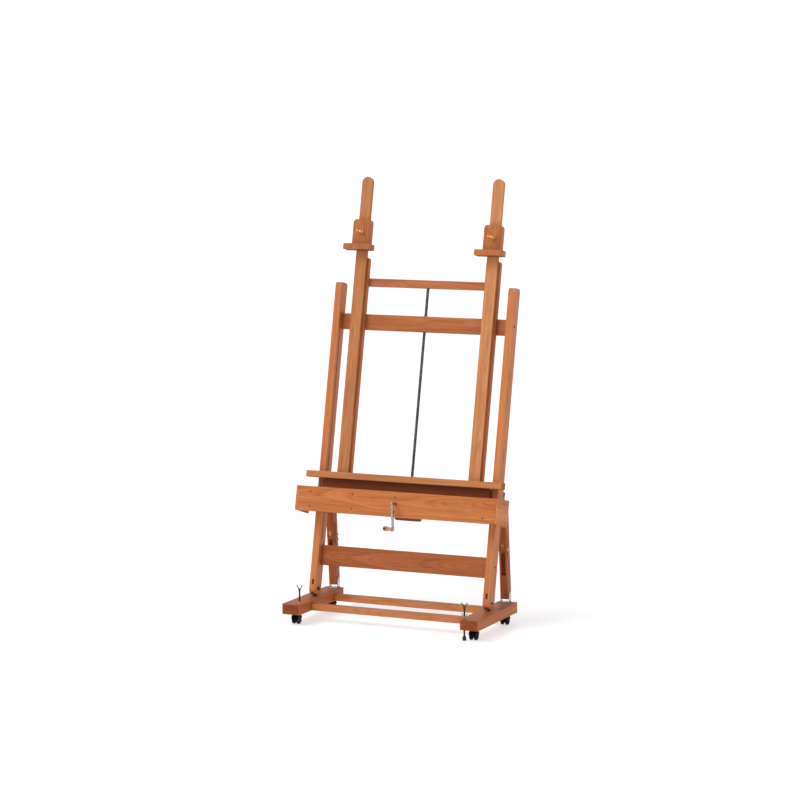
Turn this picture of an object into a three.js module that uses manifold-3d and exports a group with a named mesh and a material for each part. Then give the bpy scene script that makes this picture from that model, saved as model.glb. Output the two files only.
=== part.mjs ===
// Double-mast H-frame studio easel on castors, crank-raised. Millimetres, +Z up.
// The front of the easel faces -Y. Names ending in _left are at -X, _right at +X.
import * as THREE from 'three';
import Module from 'manifold-3d';
import { mergeVertices } from 'three/addons/utils/BufferGeometryUtils.js';

const wasm = await Module();
wasm.setup();

// ---------------------------------------------------------------- driving dimensions
const GAP = 0.3; // between pieces that touch
const LEAN = THREE.MathUtils.degToRad(12); // how far the posts lean back
const SIDES = [['left', -1], ['right', 1]];

// base, in the base frame: y = 0 at the middle of the castors' span, z = 0 on the floor
const FOOT = { inner: 325, outer: 400, front: -188, rear: 208, bottom: 44, top: 82, corner: 10 };
const FOOT_MIDDLE = (FOOT.inner + FOOT.outer) / 2;
const STRETCHERS = {
  front: { y: [-84, -58], z: [44.3, 69.5] },
  rear: { y: [116, 141], z: [45, 71] },
};
const TENON = 18;
const SHOULDER = 5; // how far a rail's faces stand proud of its tenon
const CASTOR = {
  frontY: -122, rearY: 157, trail: 13, stemRadius: 4, stemTop: 62,
  wheelRadius: 17.5, wheelSides: 14, halfWidth: 14, wheelInner: 4.6, webHalf: 3.8, axleRadius: 3,
};
const LEVELLER = { x: 336, y: -163, radius: 3.5, headZ: 126, padRadius: 7.5, padHeight: 16 };
const LEVELLER_RAISE = { left: 14, right: 1 }; // how far each pad is off the floor

// leaning frame: y = 0 on the posts' front faces, z along the posts from the tops of the feet
const LEAN_ORIGIN = { y: -16.4, z: 82.2 };
const POST = { inner: 344.5, outer: 371, depth: 51.5, top: 1212 };
const POST_MIDDLE = (POST.inner + POST.outer) / 2;
const HINGE = { y: POST.depth / 2, z: 33.9, boltRadius: 4 };
const HINGE_PLATE = { halfWidth: 12, halfDepth: 22, bottom: 79.9, tongueHalf: 2.5, tongueRadius: 11 };
const UPPER_RAIL = { y: [29.5, 51.2], z: [1034.7, 1094.7] };
const LOWER_RAIL = { y: [25, 47], z: [124.5, 201.4] };
const GUIDE_GROOVE = { y: [15.7, 22.3], depth: 6.3, z: [225, 1100] };

const UPRIGHT = { middle: 271, halfWidth: 28.5, y: [8.5, 28.5], z: [330, 1310] };
const MAST = { halfWidth: 22.3, y: [-5, 8], z: [345, 1621] };
const TOP_BAR = { halfLength: 270, y: [28.8, 51], z: [1202.5, 1233] };
const TRAY = {
  outer: 414.5, inner: 404, front: -95, rear: 8, z: [324.4, 417.5], rearDrop: 8.5, panel: 15, floor: 8,
};
const BACK_BOARD = { halfLength: 344, y: [-17, -7.8], z: [324.4, 454.7] };
const LEDGE = { x: [-404.3, 399.3], y: [-43.7, -7.5], z: [455, 480.2] };
const GUIDE_BLOCK_Z = [332, 454.7];
const ROD = { y: 39.3, radius: 6, z: [320, 1219] };
const CRANK = { z: 372, shaftRadius: 4, armFront: -131, armThick: 6, arm: 98, swing: 8, gripEnd: -210 };
const GEAR = { pitchRadius: 13.4, teeth: 10, faceWidth: 6 };
const LOCK_Z = 1262; // mast lock, near the top of each upright

const CLAMP = {
  halfWidth: 35.3, y: [-24, 7], bottom: 1336, top: 1453, corner: 13,
  bar: [1333, 1355], barFront: -56, barHalf: 55.5, screw: 1405,
};
const CLAMP_DROP = { left: 0, right: 9 }; // the right clamp sits a little lower

// struts: a grooved lower bar on the foot and a tongue that slides in it
const STRUT = {
  y: 188, z: 115, halfWidth: 15.5, halfDepth: 17, below: 17, length: 318, slot: [148, 230], earGap: 0.5, earThick: 2,
};
const TONGUE = { halfWidth: 7.7, front: -16.5, rear: 2, start: 164, bolt: 175 };
const TONGUE_MIDDLE = (TONGUE.front + TONGUE.rear) / 2;
const STRUT_TOP = { y: 68.35, z: 442 }; // the tongue's pivot behind the post, in the leaning frame
const STRUT_PIN = 3;

// ---------------------------------------------------------------- materials
const finish = (color, roughness, metalness = 0) =>
  new THREE.MeshStandardMaterial({ color, roughness, metalness });
const BEECH = finish(0xc47a45, 0.5);
const BRASS = finish(0xc9993c, 0.3, 1);
const STEEL = finish(0x9a9a98, 0.35, 1);
const DARK_STEEL = finish(0x3b3d3f, 0.45, 1);
const PLASTIC = finish(0x141414, 0.4);
const RUBBER = finish(0x1b1b1b, 0.8);

// ---------------------------------------------------------------- solids
function solid(geometry) {
  geometry.deleteAttribute('normal');
  geometry.deleteAttribute('uv');
  const merged = mergeVertices(geometry, 1e-4);
  return new wasm.Manifold(new wasm.Mesh({
    numProp: 3,
    vertProperties: merged.attributes.position.array,
    triVerts: Uint32Array.from(merged.index.array),
  }));
}

function piece(name, shape, material, parent) {
  const { vertProperties, triVerts } = shape.getMesh();
  const geometry = new THREE.BufferGeometry();
  geometry.setAttribute('position', new THREE.BufferAttribute(new Float32Array(vertProperties), 3));
  geometry.setIndex(new THREE.BufferAttribute(new Uint32Array(triVerts), 1));
  const mesh = new THREE.Mesh(geometry, material);
  mesh.name = name;
  parent.add(mesh);
  return mesh;
}

const join = (...shapes) => shapes.reduce((whole, next) => whole.add(next));
const cut = (whole, ...shapes) => shapes.reduce((rest, next) => rest.subtract(next), whole);
const mirror = (side, a, b) => [side * a, side * b].sort((p, q) => p - q);
const grow = ([a, b], by) => [a - by, b + by];

function block([x0, x1], [y0, y1], [z0, z1]) {
  const geometry = new THREE.BoxGeometry(x1 - x0, y1 - y0, z1 - z0);
  geometry.translate((x0 + x1) / 2, (y0 + y1) / 2, (z0 + z1) / 2);
  return solid(geometry);
}

// a round bar along one axis; centre gives the other two coordinates in x, y, z order
function bar(axis, [from, to], centre, radius, sides = 12, endRadius = radius) {
  const geometry = new THREE.CylinderGeometry(endRadius, radius, to - from, sides);
  geometry.translate(0, (from + to) / 2, 0);
  if (axis === 'x') geometry.rotateZ(-Math.PI / 2).translate(0, centre[0], centre[1]);
  if (axis === 'y') geometry.translate(centre[0], 0, centre[1]);
  if (axis === 'z') geometry.rotateX(Math.PI / 2).translate(centre[0], centre[1], 0);
  return solid(geometry);
}

// a flat outline given thickness along one axis; the outline lies in the other two, in order
function plate(axis, outline, [from, to], curveSegments = 3) {
  const depth = to - from;
  const geometry = new THREE.ExtrudeGeometry(outline, { depth, bevelEnabled: false, curveSegments });
  const turn = new THREE.Matrix4();
  if (axis === 'x') {
    turn.makeBasis(new THREE.Vector3(0, 1, 0), new THREE.Vector3(0, 0, 1), new THREE.Vector3(1, 0, 0));
    geometry.applyMatrix4(turn).translate(from, 0, 0);
  } else if (axis === 'y') {
    turn.makeBasis(new THREE.Vector3(1, 0, 0), new THREE.Vector3(0, 0, 1), new THREE.Vector3(0, -1, 0));
    geometry.applyMatrix4(turn).translate(0, to, 0);
  } else {
    geometry.translate(0, 0, from);
  }
  return solid(geometry);
}

// a rectangle whose bottom and top corners are rounded
function rounded([u0, u1], [v0, v1], bottom, top = bottom) {
  const shape = new THREE.Shape();
  shape.moveTo(u0 + bottom, v0);
  shape.lineTo(u1 - bottom, v0);
  if (bottom) shape.absarc(u1 - bottom, v0 + bottom, bottom, -Math.PI / 2, 0);
  shape.lineTo(u1, v1 - top);
  if (top) shape.absarc(u1 - top, v1 - top, top, 0, Math.PI / 2);
  shape.lineTo(u0 + top, v1);
  if (top) shape.absarc(u0 + top, v1 - top, top, Math.PI / 2, Math.PI);
  shape.lineTo(u0, v0 + bottom);
  if (bottom) shape.absarc(u0 + bottom, v0 + bottom, bottom, Math.PI, Math.PI * 1.5);
  return shape;
}

const polygon = (points) => new THREE.Shape(points.map(([u, v]) => new THREE.Vector2(u, v)));

// a turned piece about Z from (radius, height) points that start and end on the axis
function turned(points, sides = 12) {
  const profile = points.map(([r, h]) => new THREE.Vector2(r, h));
  return solid(new THREE.LatheGeometry(profile, sides).rotateX(Math.PI / 2));
}

// two spread wings about the Z axis, lying in the XZ plane, with their root at z = base
function wings(base, span, height, thick) {
  const half = [
    [0, 0], [0.35, 0.05], [0.85, 0.45], [1, 0.75], [0.95, 0.95], [0.72, 1], [0.35, 0.6], [0, 0.42],
  ];
  const right = half.map(([u, v]) => [u * span, base + v * height]);
  const left = right.slice(1, -1).reverse().map(([u, v]) => [-u, v]);
  return plate('y', polygon([...right, ...left]), [-thick / 2, thick / 2]);
}

// a frustum gear about Z: large end at z = 0, small end at z = faceWidth
function bevelGear() {
  const { pitchRadius, teeth, faceWidth } = GEAR;
  let gear = bar('z', [0, faceWidth], [0, 0], pitchRadius, 2 * teeth, pitchRadius - faceWidth);
  for (let i = 0; i < teeth; i += 1) {
    const notch = new THREE.BoxGeometry(3, 2.2, 3 * faceWidth);
    notch.rotateY(-Math.PI / 4).translate(pitchRadius + 0.2, 0, 0).rotateZ((i / teeth) * 2 * Math.PI);
    gear = gear.subtract(solid(notch));
  }
  return gear;
}

// ---------------------------------------------------------------- base
function foot(name, side, base) {
  const x = mirror(side, FOOT.inner, FOOT.outer);
  let body = plate('z', rounded(x, [FOOT.front, FOOT.rear], FOOT.corner), [FOOT.bottom, FOOT.top], 6);
  for (const { y, z } of Object.values(STRETCHERS)) {
    const mortise = mirror(side, FOOT.inner - 1, FOOT.inner + TENON + GAP);
    body = cut(body, block(mortise, grow(y, GAP - SHOULDER), grow(z, GAP - SHOULDER)));
  }
  for (const y of [CASTOR.frontY, CASTOR.rearY]) {
    const socket = [FOOT.bottom - 1, CASTOR.stemTop + 1];
    body = cut(body, bar('z', socket, [side * FOOT_MIDDLE, y], CASTOR.stemRadius + GAP));
  }
  const { halfWidth, halfDepth, bottom } = HINGE_PLATE;
  const middle = side * POST_MIDDLE;
  const plateX = grow([middle - halfWidth, middle + halfWidth], GAP);
  const plateY = grow([hingeY - halfDepth, hingeY + halfDepth], GAP);
  body = cut(
    body,
    bar('z', [FOOT.bottom - 1, FOOT.top + 1], [side * LEVELLER.x, LEVELLER.y], LEVELLER.radius + 1),
    block(plateX, plateY, [bottom - GAP, FOOT.top + 1]),
  );
  piece(`foot_${name}`, body, BEECH, base);
}

function stretcher(name, { y, z }, base) {
  const long = FOOT.inner - GAP;
  const tenon = FOOT.inner + TENON;
  const body = join(block([-long, long], y, z), block([-tenon, tenon], grow(y, -SHOULDER), grow(z, -SHOULDER)));
  piece(`stretcher_${name}`, body, BEECH, base);
}

// steel plate let into the foot, with a tongue that stands in the post's slot
function hingeBracket(name, side, base) {
  const middle = side * POST_MIDDLE;
  const { halfWidth, halfDepth, bottom, tongueHalf, tongueRadius } = HINGE_PLATE;
  const tongue = [middle - tongueHalf, middle + tongueHalf];
  const body = join(
    block([middle - halfWidth, middle + halfWidth], [hingeY - halfDepth, hingeY + halfDepth], [bottom, FOOT.top]),
    block(tongue, [hingeY - tongueRadius, hingeY + tongueRadius], [bottom + 1, hingeZ]),
    bar('x', tongue, [hingeY, hingeZ], tongueRadius, 14),
  );
  const hole = bar('x', [middle - 4, middle + 4], [hingeY, hingeZ], HINGE.boltRadius + GAP);
  piece(`hinge_bracket_${name}`, cut(body, hole), STEEL, base);
}

// steel stirrup on the foot, with the riveted pin that carries the strut
function strutBracket(name, side, base) {
  const middle = side * POST_MIDDLE;
  const inside = STRUT.halfWidth + STRUT.earGap;
  const outside = inside + STRUT.earThick;
  const ear = rounded([STRUT.y - 10, STRUT.y + 10], [FOOT.top + GAP, STRUT.z + 10], 0, 9.5);
  const body = join(
    block([middle - outside, middle + outside], [STRUT.y - 15, STRUT.y + 15], [FOOT.top + GAP, FOOT.top + 2.3]),
    plate('x', ear, [middle - outside, middle - inside]),
    plate('x', ear, [middle + inside, middle + outside]),
    bar('x', grow([middle - outside, middle + outside], 1.5), [STRUT.y, STRUT.z], STRUT_PIN),
  );
  piece(`strut_bracket_${name}`, body, STEEL, base);
}

function castor(name, x, y, base) {
  const { trail, stemRadius, stemTop, wheelRadius, wheelSides, halfWidth, wheelInner, webHalf, axleRadius } = CASTOR;
  const wheelY = Math.sign(y) * trail;
  const wheelZ = wheelRadius * Math.cos(Math.PI / wheelSides); // a flat of the faceted tread is down
  const place = new THREE.Group();
  place.position.set(x, y, 0);
  base.add(place);
  const arch = new THREE.Shape();
  arch.absarc(wheelY, wheelZ, wheelRadius + 3.8, Math.PI * 0.08, Math.PI * 0.92);
  arch.absarc(wheelY, wheelZ, wheelRadius + 1.2, Math.PI * 0.92, Math.PI * 0.08, true);
  const hood = join(
    plate('x', arch, [-halfWidth, halfWidth], 5),
    bar('x', [-webHalf, webHalf], [wheelY, wheelZ], wheelRadius + 2, 16),
    block([-webHalf, webHalf], [-7, 7], [22, 43]),
    bar('z', [37, 43.5], [0, 0], 9),
    bar('z', [43, stemTop], [0, 0], stemRadius),
  );
  const floorGap = block([-6, 6], [wheelY - 30, wheelY + 30], [-10, 5]);
  const axleHole = bar('x', [-6, 6], [wheelY, wheelZ], axleRadius + GAP);
  piece(`castor_hood_${name}`, cut(hood, floorGap, axleHole), PLASTIC, place);
  const half = [
    [0, halfWidth], [wheelRadius - 5, halfWidth], [wheelRadius - 4.2, halfWidth - 1.2],
    [wheelRadius - 1.5, halfWidth - 1.6], [wheelRadius, halfWidth - 3.4], [wheelRadius, wheelInner + 2],
    [wheelRadius - 1.5, wheelInner], [axleRadius, wheelInner],
  ];
  const profile = [...half, ...half.slice().reverse().map(([r, h]) => [r, -h])];
  const wheels = turned(profile.reverse(), wheelSides).rotate([0, 90, 0]).translate([0, wheelY, wheelZ]);
  piece(`castor_wheels_${name}`, wheels, PLASTIC, place);
}

function leveller(name, side, base) {
  const { radius, headZ, padRadius, padHeight } = LEVELLER;
  const place = new THREE.Group();
  place.position.set(side * LEVELLER.x, LEVELLER.y, LEVELLER_RAISE[name]);
  base.add(place);
  const pad = turned([[0, 0], [5.5, 0], [padRadius, 2], [padRadius, 9], [5.2, padHeight], [0, padHeight]], 12);
  const socket = bar('z', [8, padHeight + 1], [0, 0], radius + GAP);
  piece(`levelling_pad_${name}`, cut(pad, socket), RUBBER, place);
  const screw = join(bar('z', [8.4, headZ + 2], [0, 0], radius), wings(headZ - 3, 13.5, 17, 3));
  piece(`levelling_screw_${name}`, screw, STEEL, place);
  const top = FOOT.top + GAP - LEVELLER_RAISE[name];
  const nut = join(
    bar('z', [top, top + 2], [0, 0], 8),
    bar('z', [top, top + 9], [0, 0], 6),
    wings(top + 2, 12, 17, 3),
  );
  const bore = bar('z', [top - 1, top + 20], [0, 0], radius + GAP);
  piece(`lock_wing_nut_${name}`, cut(nut, bore), BRASS, place);
}

// ---------------------------------------------------------------- leaning H frame
function post(name, side, lean) {
  const outline = new THREE.Shape();
  outline.moveTo(0, HINGE.z);
  outline.absarc(HINGE.y, HINGE.z, HINGE.y, Math.PI, 2 * Math.PI);
  outline.lineTo(POST.depth, POST.top - 12);
  outline.absarc(POST.depth - 12, POST.top - 12, 12, 0, Math.PI / 2);
  outline.lineTo(12, POST.top);
  outline.absarc(12, POST.top - 12, 12, Math.PI / 2, Math.PI);
  const x = mirror(side, POST.inner, POST.outer);
  const middle = side * POST_MIDDLE;
  const mortise = mirror(side, POST.inner - 1, POST.inner + 14.3);
  const body = cut(
    plate('x', outline, x, 6),
    block([middle - 3.2, middle + 3.2], [5, POST.depth + 1], [0, HINGE.z + 12.6]),
    block([middle - 4, middle + 4], [-1, 17], [48, 68]),
    bar('x', grow(x, 1), [HINGE.y, HINGE.z], HINGE.boltRadius + GAP),
    block(mortise, grow(UPPER_RAIL.y, -5 + GAP), grow(UPPER_RAIL.z, -8 + GAP)),
    block(mortise, grow(LOWER_RAIL.y, -5 + GAP), grow(LOWER_RAIL.z, -8 + GAP)),
    block(mirror(side, POST.inner - 1, POST.inner + GUIDE_GROOVE.depth), GUIDE_GROOVE.y, GUIDE_GROOVE.z),
  );
  piece(`post_${name}`, body, BEECH, lean);
  const bolt = join(
    bar('x', [middle - 17, middle + 17], [HINGE.y, HINGE.z], HINGE.boltRadius),
    bar('x', mirror(side, POST.outer + GAP, POST.outer + 4.5), [HINGE.y, HINGE.z], 7.5),
    bar('x', mirror(side, POST.inner - 6, POST.inner - GAP), [HINGE.y, HINGE.z], 7, 6),
  );
  piece(`hinge_bolt_${name}`, bolt, STEEL, lean);
}

function rails(lean) {
  const rail = ({ y, z }) => join(
    block([-POST.inner + GAP, POST.inner - GAP], y, z),
    block([-POST.inner - 14, POST.inner + 14], grow(y, -5), grow(z, -8)),
  );
  const top = UPPER_RAIL.z[1];
  const upper = cut(
    rail(UPPER_RAIL),
    bar('z', grow(UPPER_RAIL.z, 1), [0, ROD.y], ROD.radius + 1),
    bar('z', [top - 13, top + 1], [0, ROD.y], 8.5),
  );
  piece('cross_rail_upper', upper, BEECH, lean);
  piece('cross_rail_lower', rail(LOWER_RAIL), BEECH, lean);
  const nut = join(
    bar('z', [top - 12.5, top + GAP], [0, ROD.y], 8.2),
    bar('z', [top + GAP, top + 1.5], [0, ROD.y], 10.5),
  );
  const bore = bar('z', [top - 20, top + 5], [0, ROD.y], ROD.radius + 0.4);
  piece('rod_nut', cut(nut, bore), BRASS, lean);
}

// steel plate on the back of the post, with two ears and the pin that carries the tongue
function strutHinge(name, side, lean) {
  const middle = side * POST_MIDDLE;
  const back = POST.depth + GAP;
  const ear = rounded([back, STRUT_TOP.y + 9], [STRUT_TOP.z - 9, STRUT_TOP.z + 9], 0, 0);
  const body = join(
    block([middle - 12, middle + 12], [back, back + 2], [STRUT_TOP.z - 26, STRUT_TOP.z + 40]),
    plate('x', ear, [middle - 10.4, middle - 8.4]),
    plate('x', ear, [middle + 8.4, middle + 10.4]),
    bar('x', [middle - 12, middle + 12], [STRUT_TOP.y, STRUT_TOP.z], STRUT_PIN),
  );
  piece(`strut_hinge_${name}`, body, STEEL, lean);
}

// ---------------------------------------------------------------- struts
function strut(name, side, base) {
  const reach = Math.hypot(STRUT.y - strutTop.y, strutTop.z - STRUT.z);
  const place = new THREE.Group();
  place.position.set(side * POST_MIDDLE, STRUT.y, STRUT.z);
  place.rotation.x = Math.atan2(STRUT.y - strutTop.y, strutTop.z - STRUT.z) + Math.asin(TONGUE_MIDDLE / reach);
  base.add(place);
  const { halfWidth, halfDepth, below, length } = STRUT;
  const pivot = Math.sqrt(reach * reach - TONGUE_MIDDLE * TONGUE_MIDDLE);

  const through = [-halfWidth - 1, halfWidth + 1];
  const lower = cut(
    block([-halfWidth, halfWidth], [-halfDepth, halfDepth], [-below, length]),
    block([-8, 8], [-halfDepth - 1, TONGUE.rear + GAP], [76, length + 1]),
    bar('x', through, [0, 0], STRUT_PIN + 0.5),
    plate('x', rounded([TONGUE_MIDDLE - 3.3, TONGUE_MIDDLE + 3.3], STRUT.slot, 3.2), through),
  );
  piece(`strut_lower_${name}`, lower, BEECH, place);

  const end = rounded([TONGUE.front, TONGUE.rear], [TONGUE.start, pivot - TONGUE_MIDDLE * 1.25], 0, 9.1);
  const upper = cut(
    plate('x', end, [-TONGUE.halfWidth, TONGUE.halfWidth]),
    bar('x', [-10, 10], [TONGUE_MIDDLE, pivot], STRUT_PIN + 2.6),
    bar('x', [-10, 10], [TONGUE_MIDDLE, TONGUE.bolt], STRUT_PIN + GAP),
  );
  piece(`strut_upper_${name}`, upper, BEECH, place);

  const inner = (a, b) => mirror(-side, halfWidth + a, halfWidth + b);
  const nutWings = wings(3, 12, 12, 3).rotate([0, side > 0 ? -90 : 90, 0])
    .translate([-side * (halfWidth + 2), TONGUE_MIDDLE, TONGUE.bolt]);
  const bolt = join(
    bar('x', [-halfWidth - 3, halfWidth + 3], [TONGUE_MIDDLE, TONGUE.bolt], STRUT_PIN),
    bar('x', mirror(side, halfWidth + GAP, halfWidth + 3.5), [TONGUE_MIDDLE, TONGUE.bolt], 7.5),
    bar('x', inner(GAP, 1.8), [TONGUE_MIDDLE, TONGUE.bolt], 8),
    bar('x', inner(1, 9), [TONGUE_MIDDLE, TONGUE.bolt], 5.5),
    nutWings,
  );
  piece(`strut_wing_bolt_${name}`, bolt, BRASS, place);
}

// ---------------------------------------------------------------- carriage
function upright(name, side, lean) {
  const { middle, halfWidth, y, z } = UPRIGHT;
  const outline = rounded([side * middle - halfWidth, side * middle + halfWidth], z, 0, 9);
  const hole = bar('y', [0, 40], [side * middle, LOCK_Z], 3.5);
  piece(`inner_upright_${name}`, cut(plate('y', outline, y), hole), BEECH, lean);
}

// fills the space beside the mast, holds the upright to the back board and runs in the post's groove
function guideBlock(name, side, lean) {
  const inner = UPRIGHT.middle + UPRIGHT.halfWidth + GAP;
  const body = join(
    block(mirror(side, inner, POST.inner - 0.6), [BACK_BOARD.y[1] + GAP, UPRIGHT.y[1]], GUIDE_BLOCK_Z),
    block(mirror(side, inner, POST.inner + 5.6), grow(GUIDE_GROOVE.y, -0.5), GUIDE_BLOCK_Z),
  );
  piece(`guide_block_${name}`, body, BEECH, lean);
}

function tray(lean) {
  const { outer, inner, front, rear, z, rearDrop, panel, floor } = TRAY;
  const back = BACK_BOARD.y[0] - GAP;
  const shaftHole = (y) => bar('y', y, [0, CRANK.z], CRANK.shaftRadius + 0.8);
  const face = plate('y', rounded([-inner + GAP, inner - GAP], z, 0), [front, front + panel]);
  piece('tray_front_panel', cut(face, shaftHole([front - 1, front + panel + 1])), BEECH, lean);
  for (const [name, side] of SIDES) {
    // the board's lower edge drops towards the back
    const outline = polygon([
      [front, z[0]], [rear, z[0] - rearDrop], [rear, z[1] - 4], [rear - 1.5, z[1] - 1.2], [rear - 4, z[1]], [front, z[1]],
    ]);
    const board = plate('x', outline, mirror(side, inner, outer));
    piece(`tray_side_${name}`, board, BEECH, lean);
  }
  const bottom = block([-inner + GAP, inner - GAP], [front + panel + GAP, back], [z[0], z[0] + floor]);
  piece('tray_bottom', bottom, BEECH, lean);
  const { halfLength, y } = BACK_BOARD;
  const board = cut(block([-halfLength, halfLength], y, BACK_BOARD.z), shaftHole(grow(y, 1)));
  piece('tray_back_board', board, BEECH, lean);
  const ledge = plate('x', rounded(LEDGE.y, LEDGE.z, 2), LEDGE.x, 3);
  piece('canvas_ledge', ledge, BEECH, lean);
}

function gearBlock(lean) {
  const front = BACK_BOARD.y[1] + GAP;
  const body = join(
    block([-50, 50], [front, 50], [326, 338]),
    plate('y', rounded([-50, 50], [316, 330], 8, 0), [20, 50]),
    plate('y', rounded([-40, 40], [330, 408], 0, 8), [front, 3]),
  );
  const cutaway = cut(
    body,
    bar('z', [319.5, 340], [0, ROD.y], ROD.radius + GAP),
    bar('y', [front - 1, 4], [0, CRANK.z], CRANK.shaftRadius + GAP),
  );
  piece('gear_block', cutaway, BEECH, lean);
}

function topBar(lean) {
  const { halfLength, y, z } = TOP_BAR;
  const socket = bar('z', [z[0] - 1, ROD.z[1] + GAP], [0, ROD.y], ROD.radius + GAP);
  piece('top_bar', cut(block([-halfLength, halfLength], y, z), socket), BEECH, lean);
}

function threadedRod(lean) {
  const gearZ = CRANK.z - GEAR.pitchRadius - 0.8;
  const body = join(
    bar('z', ROD.z, [0, ROD.y], ROD.radius),
    bar('z', [338.4, gearZ + 0.5], [0, ROD.y], 9),
    bevelGear().translate([0, ROD.y, gearZ]),
  );
  piece('threaded_rod', body, DARK_STEEL, lean);
}

function crank(lean) {
  const { z, shaftRadius, armFront, armThick, arm, swing, gripEnd } = CRANK;
  const gearY = ROD.y - GEAR.pitchRadius - 0.8;
  const toothStep = 180 / GEAR.teeth;
  const gear = bevelGear().rotate([0, 0, toothStep]).rotate([-90, 0, 0]).translate([0, gearY, 0]);
  const armOutline = rounded([-4, 4], [-arm - 4, 7], 3.9);
  const body = join(
    bar('y', [armFront, gearY + 0.5], [0, 0], shaftRadius),
    bar('y', [4, gearY + 0.5], [0, 0], 8.5),
    gear,
    plate('y', armOutline, [armFront, armFront + armThick]),
    bar('y', [gripEnd + 3, armFront + 1], [0, -arm], 2.6, 10),
    bar('y', [gripEnd, gripEnd + 3], [0, -arm], 5),
  );
  const place = new THREE.Group();
  place.position.set(0, 0, z);
  place.rotation.y = -THREE.MathUtils.degToRad(swing);
  lean.add(place);
  piece('crank', body, STEEL, place);
  const length = armFront - gripEnd;
  const profile = [
    [3.1, 4.4], [6, 4.4], [8, 7.5], [6.7, 17], [6.2, 26], [6.6, 37], [8, 49],
    [9.6, 59], [10, 65], [9, 72], [7, 74.6], [3.1, length - 4.4], [3.1, 4.4],
  ];
  const shape = solid(new THREE.LatheGeometry(profile.map(([r, h]) => new THREE.Vector2(r, h)), 14));
  const grip = shape.rotate([180, 0, 0]).translate([0, armFront, -arm]);
  piece('crank_grip', grip, BEECH, place);
}

// ---------------------------------------------------------------- masts and clamps
function mast(name, side, lean) {
  const { halfWidth, y, z } = MAST;
  const middle = side * UPRIGHT.middle;
  const place = new THREE.Group();
  place.position.x = middle;
  lean.add(place);
  const bodyTop = z[1] - halfWidth;
  const outline = new THREE.Shape();
  outline.moveTo(-halfWidth, z[0]);
  outline.lineTo(halfWidth, z[0]);
  outline.lineTo(halfWidth, bodyTop);
  outline.absarc(0, bodyTop, halfWidth, 0, Math.PI);
  const body = cut(
    plate('y', outline, y, 16),
    block([-3.9, 3.9], [4.2, 9], [z[0] - 1, 1545]),
    block([-6.6, 6.6], [0.2, 4.6], [z[0] - 1, 1545]),
    block([-halfWidth - 1, -halfWidth + 3.2], [0, 3.4], [700, z[1] + 1]),
    block([halfWidth - 3.2, halfWidth + 1], [0, 3.4], [700, z[1] + 1]),
  );
  piece(`mast_${name}`, body, BEECH, place);

  const back = UPRIGHT.y[1];
  const lock = join(
    bar('y', [0.8, 3.8], [0, LOCK_Z], 6),
    bar('y', [1, back + 10], [0, LOCK_Z], 3),
    bar('y', [back + GAP, back + 1.8], [0, LOCK_Z], 9),
    bar('y', [back + 1, back + 6], [0, LOCK_Z], 7),
    bar('y', [back + 5, back + 18], [0, LOCK_Z], 16, 16),
  );
  piece(`mast_lock_knob_${name}`, lock, PLASTIC, place);
}

function clamp(name, side, lean) {
  const { halfWidth, y, bottom, top, barFront, barHalf } = CLAMP;
  const place = new THREE.Group();
  place.position.set(side * UPRIGHT.middle, 0, -CLAMP_DROP[name]);
  lean.add(place);
  const screwZ = CLAMP.screw;
  const face = MAST.y[0] - 0.6;
  const outline = rounded([-halfWidth, halfWidth], [bottom, top], 2, CLAMP.corner);
  const body = cut(
    join(plate('y', outline, y, 6), block([-barHalf, barHalf], [barFront, -12], CLAMP.bar)),
    block([-MAST.halfWidth - 0.6, MAST.halfWidth + 0.6], [face, y[1] + 1], [bottom - 1, top + 1]),
    bar('y', [y[0] - 1, 0], [0, screwZ], 3.4),
  );
  const lipX = [MAST.halfWidth - 2.6, MAST.halfWidth + 2];
  const lip = (s) => block(mirror(s, ...lipX), [0.5, 2.9], [bottom + 4, top - 16]);
  piece(`clamp_${name}`, join(body, lip(-1), lip(1)), BEECH, place);
  const screw = join(
    bar('y', [y[0] - 8, MAST.y[0] - GAP], [0, screwZ], 3),
    bar('y', [y[0] - 12, y[0] - GAP], [0, screwZ], 6.5),
    wings(0, 12, 11, 4).rotate([90, 0, 0]).rotate([0, 65, 0]).translate([0, y[0] - 7, screwZ]),
  );
  piece(`clamp_wing_screw_${name}`, screw, BRASS, place);
}

// ---------------------------------------------------------------- assembly
const along = (y, z) => ({
  y: LEAN_ORIGIN.y + y * Math.cos(LEAN) + z * Math.sin(LEAN),
  z: LEAN_ORIGIN.z - y * Math.sin(LEAN) + z * Math.cos(LEAN),
});
const { y: hingeY, z: hingeZ } = along(HINGE.y, HINGE.z);
const strutTop = along(STRUT_TOP.y, STRUT_TOP.z);

const easel = new THREE.Group();
const lean = new THREE.Group();
lean.position.set(0, LEAN_ORIGIN.y, LEAN_ORIGIN.z);
lean.rotation.x = -LEAN;
easel.add(lean);

for (const [name, side] of SIDES) {
  foot(name, side, easel);
  hingeBracket(name, side, easel);
  strutBracket(name, side, easel);
  castor(`front_${name}`, side * FOOT_MIDDLE, CASTOR.frontY, easel);
  castor(`rear_${name}`, side * FOOT_MIDDLE, CASTOR.rearY, easel);
  leveller(name, side, easel);
  post(name, side, lean);
  strutHinge(name, side, lean);
  strut(name, side, easel);
  upright(name, side, lean);
  guideBlock(name, side, lean);
  mast(name, side, lean);
  clamp(name, side, lean);
}
for (const [name, size] of Object.entries(STRETCHERS)) stretcher(name, size, easel);
rails(lean);
tray(lean);
gearBlock(lean);
topBar(lean);
threadedRod(lean);
crank(lean);

// the origin is on the floor under the middle of the whole easel's box
const group = new THREE.Group();
group.add(easel);
const extent = new THREE.Box3().setFromObject(easel, true);
easel.position.y = -(extent.min.y + extent.max.y) / 2;

export default group;
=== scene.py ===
import math
import random

import bmesh
import bpy
from mathutils import Euler, Matrix, Vector


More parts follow.
